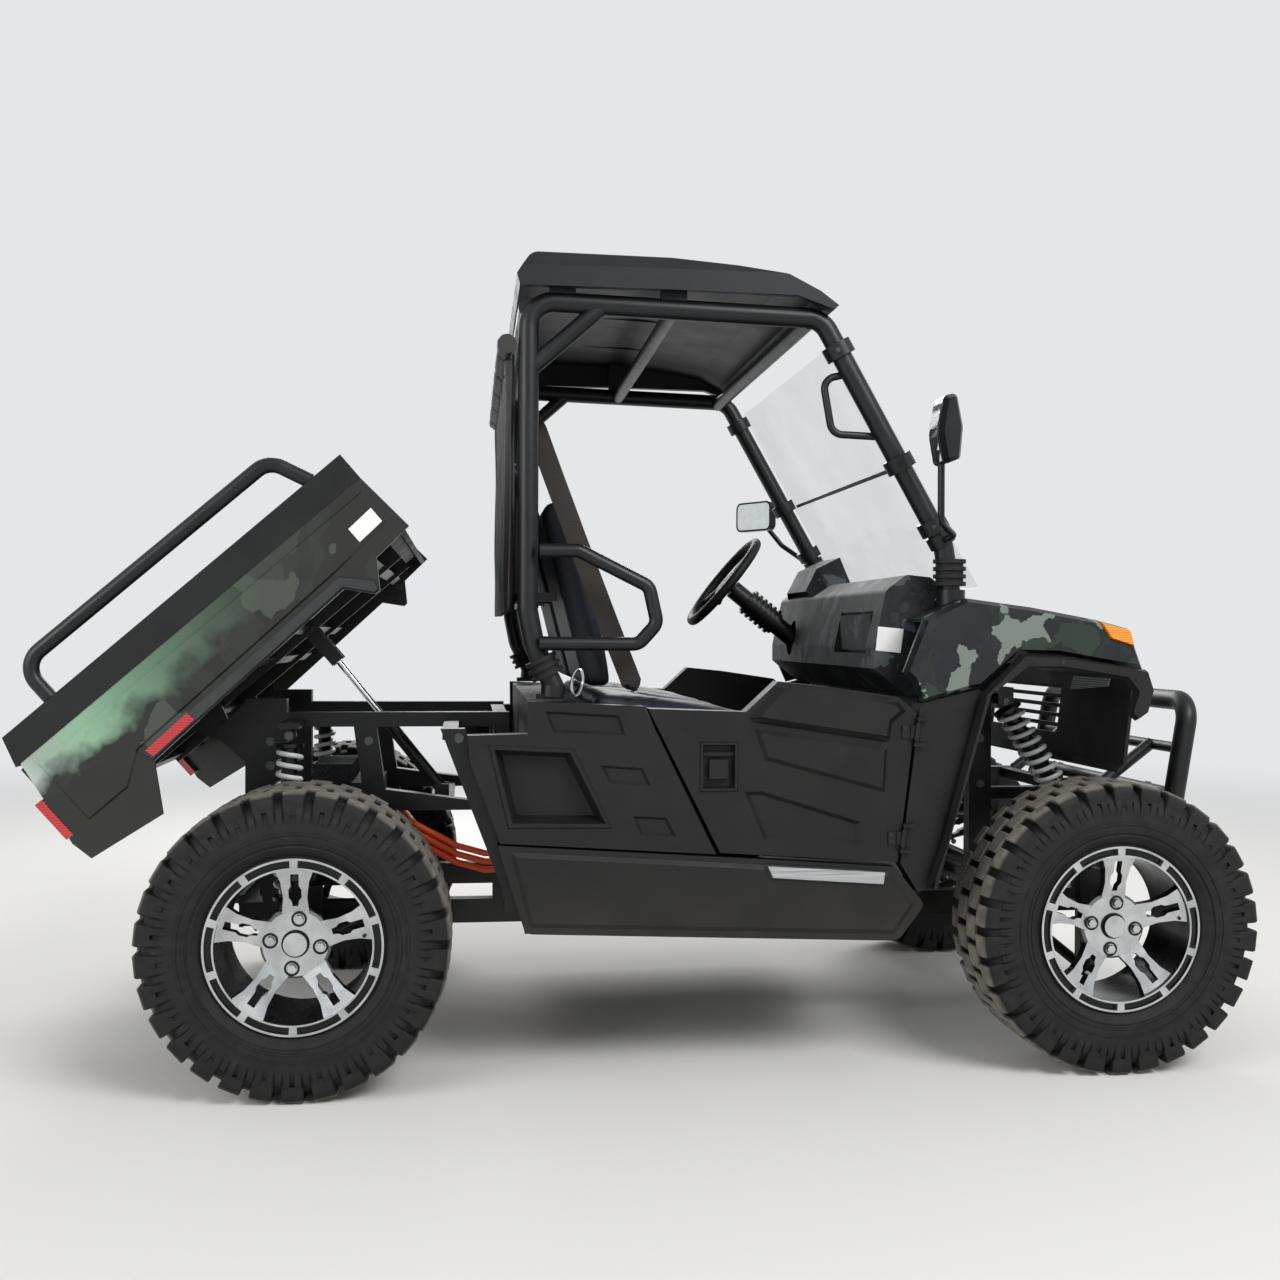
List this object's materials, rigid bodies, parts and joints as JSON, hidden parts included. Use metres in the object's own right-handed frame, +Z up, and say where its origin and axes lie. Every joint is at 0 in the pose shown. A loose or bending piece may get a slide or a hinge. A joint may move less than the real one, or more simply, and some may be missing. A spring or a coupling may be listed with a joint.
{
  "type": "side by side utility vehicle",
  "caption": "Open two-seat off-road utility vehicle with a roofed roll cage, half doors, windshield and a tipping cargo bed.",
  "frame": {"origin": "on the ground under the middle of the bounding box", "axes": "+X forward, +Y to the driver's left, +Z up"},
  "size_m": [2.8781, 1.6695, 1.913],
  "materials": {
    "frame_steel": "satin black powder coat",
    "cage_steel": "satin black powder coat",
    "body_plastic": "grained black moulded plastic",
    "camo_plastic": "glossy dark green camouflage film",
    "roof_plastic": "dark blue-grey moulded plastic",
    "trim_grey": "mid grey plastic trim",
    "alloy": "machined face with black pockets",
    "tyre_rubber": "dusty black rubber",
    "boot_rubber": "black rubber bellows",
    "clear_sheet": "clear polycarbonate",
    "lamp_clear": "clear lamp cover",
    "lamp_amber": "amber lamp cover",
    "lamp_red": "red lamp cover",
    "seat_vinyl": "black vinyl",
    "webbing": "dark brown-black webbing",
    "curtain_fabric": "dark coated fabric",
    "motor_alloy": "cast aluminium case",
    "steel_plain": "zinc plated steel",
    "spring_steel": "light grey painted coil over black damper",
    "cable_orange": "orange cable sheath",
    "battery_case": "dark case"
  },
  "bodies": {
    "chassis": {"chassis_frame": "frame_steel", "front_frame": "frame_steel", "rear_frame": "frame_steel", "hitch_receiver": "frame_steel", "side_posts": "frame_steel", "front_bumper": "frame_steel", "suspension_arms": "frame_steel", "coil_shocks": "spring_steel", "motor_block": "motor_alloy", "battery_block": "battery_case", "hv_cables": "cable_orange", "steering_gear": "frame_steel", "cab_floor": "body_plastic", "seat_base": "body_plastic", "hood": "camo_plastic", "front_fascia": "body_plastic", "head_lamps": "lamp_clear", "corner_lamps": "lamp_amber", "dash_panel": "body_plastic", "rops_cage": "cage_steel", "pillar_boots": "boot_rubber", "grab_bars": "cage_steel", "roof_panel": "roof_plastic", "windshield": "clear_sheet", "windshield_clamps": "body_plastic", "rear_curtain": "curtain_fabric", "seat_cushions": "seat_vinyl", "seat_backs": "seat_vinyl", "seat_belts": "webbing", "sill_panels": "body_plastic", "rear_side_panels": "body_plastic", "step_strips": "alloy", "front_arches": "body_plastic", "fenders": "camo_plastic", "mirrors": "body_plastic"},
    "bed": {"bed_tub": "frame_steel", "bed_underframe": "frame_steel", "bed_rim_cap": "body_plastic", "bed_sides": "camo_plastic", "bed_rails": "cage_steel", "bed_arch_trims": "trim_grey", "tail_lamps": "lamp_red"},
    "tailgate": {"tailgate": "frame_steel"},
    "strut_cylinder": {"strut_cylinder": "frame_steel"},
    "strut_rod": {"strut_rod": "steel_plain"},
    "tie_rods": {"tie_rods": "steel_plain"},
    "steering_wheel": {"steering_wheel": "body_plastic"},
    "knuckle_left": {"knuckle_left": "frame_steel"},
    "knuckle_right": {"knuckle_right": "frame_steel"},
    "door_left": {"door_left": "body_plastic"},
    "door_right": {"door_right": "body_plastic"},
    "wheel_front_left": {"rim_front_left": "alloy", "tyre_front_left": "tyre_rubber"},
    "wheel_front_right": {"rim_front_right": "alloy", "tyre_front_right": "tyre_rubber"},
    "wheel_rear_left": {"rim_rear_left": "alloy", "tyre_rear_left": "tyre_rubber"},
    "wheel_rear_right": {"rim_rear_right": "alloy", "tyre_rear_right": "tyre_rubber"}
  },
  "joints": [
    {"name": "bed_tilt", "type": "hinge", "parent": "chassis", "child": "bed", "pos_m": [-1.041, 0, 0.781], "axis": [0, -1, 0], "range_deg": [-41, 0]},
    {"name": "tailgate_hinge", "type": "hinge", "parent": "bed", "child": "tailgate", "pos_m": [-1.34313, 0, 0.64689], "axis": [0, -1, 0], "range_deg": [0, 90]},
    {"name": "strut_swing", "type": "hinge", "parent": "chassis", "child": "strut_cylinder", "pos_m": [-0.507, -0.18, 0.625], "axis": [0, -1, 0], "range_deg": [-0.05, 21.48]},
    {"name": "strut_slide", "type": "slide", "parent": "strut_cylinder", "child": "strut_rod", "axis": [-0.6238, 0, 0.7816], "range_m": [-0.18846, 0]},
    {"name": "steering_turn", "type": "hinge", "parent": "chassis", "child": "steering_wheel", "pos_m": [0.329, 0.33, 1.191], "axis": [0.7808, 0, -0.6248], "range_deg": [-270, 270]},
    {"name": "tie_rod_slide", "type": "slide", "parent": "chassis", "child": "tie_rods", "axis": [0, 1, 0], "range_m": [-0.0552, 0.0552]},
    {"name": "steer_left", "type": "hinge", "parent": "chassis", "child": "knuckle_left", "pos_m": [1.083, 0.56, 0.343], "axis": [0, 0, 1], "range_deg": [-30.05, 30.05]},
    {"name": "spin_front_left", "type": "hinge", "parent": "knuckle_left", "child": "wheel_front_left", "pos_m": [1.083, 0.742, 0.343], "axis": [0, 1, 0], "continuous": true},
    {"name": "spin_rear_left", "type": "hinge", "parent": "chassis", "child": "wheel_rear_left", "pos_m": [-0.817, 0.742, 0.343], "axis": [0, 1, 0], "continuous": true},
    {"name": "door_hinge_left", "type": "hinge", "parent": "chassis", "child": "door_left", "pos_m": [0.603, 0.7085, 0.845], "axis": [-0.1282, 0, -0.9918], "range_deg": [0, 70]},
    {"name": "steer_right", "type": "hinge", "parent": "chassis", "child": "knuckle_right", "pos_m": [1.083, -0.56, 0.343], "axis": [0, 0, 1], "range_deg": [-30.05, 30.05]},
    {"name": "spin_front_right", "type": "hinge", "parent": "knuckle_right", "child": "wheel_front_right", "pos_m": [1.083, -0.742, 0.343], "axis": [0, 1, 0], "continuous": true},
    {"name": "spin_rear_right", "type": "hinge", "parent": "chassis", "child": "wheel_rear_right", "pos_m": [-0.817, -0.742, 0.343], "axis": [0, 1, 0], "continuous": true},
    {"name": "door_hinge_right", "type": "hinge", "parent": "chassis", "child": "door_right", "pos_m": [0.603, -0.7085, 0.845], "axis": [0.1282, 0, 0.9918], "range_deg": [0, 70]}
  ],
  "couplings": [
    {"joint": "strut_swing", "follows": "bed_tilt", "ratio": -0.52276},
    {"joint": "strut_slide", "follows": "bed_tilt", "m_per_rad": 0.26309},
    {"joint": "steer_left", "follows": "steering_turn", "ratio": -0.11111},
    {"joint": "steer_right", "follows": "steering_turn", "ratio": -0.11111},
    {"joint": "tie_rod_slide", "follows": "steering_turn", "m_per_rad": 0.011671}
  ]
}
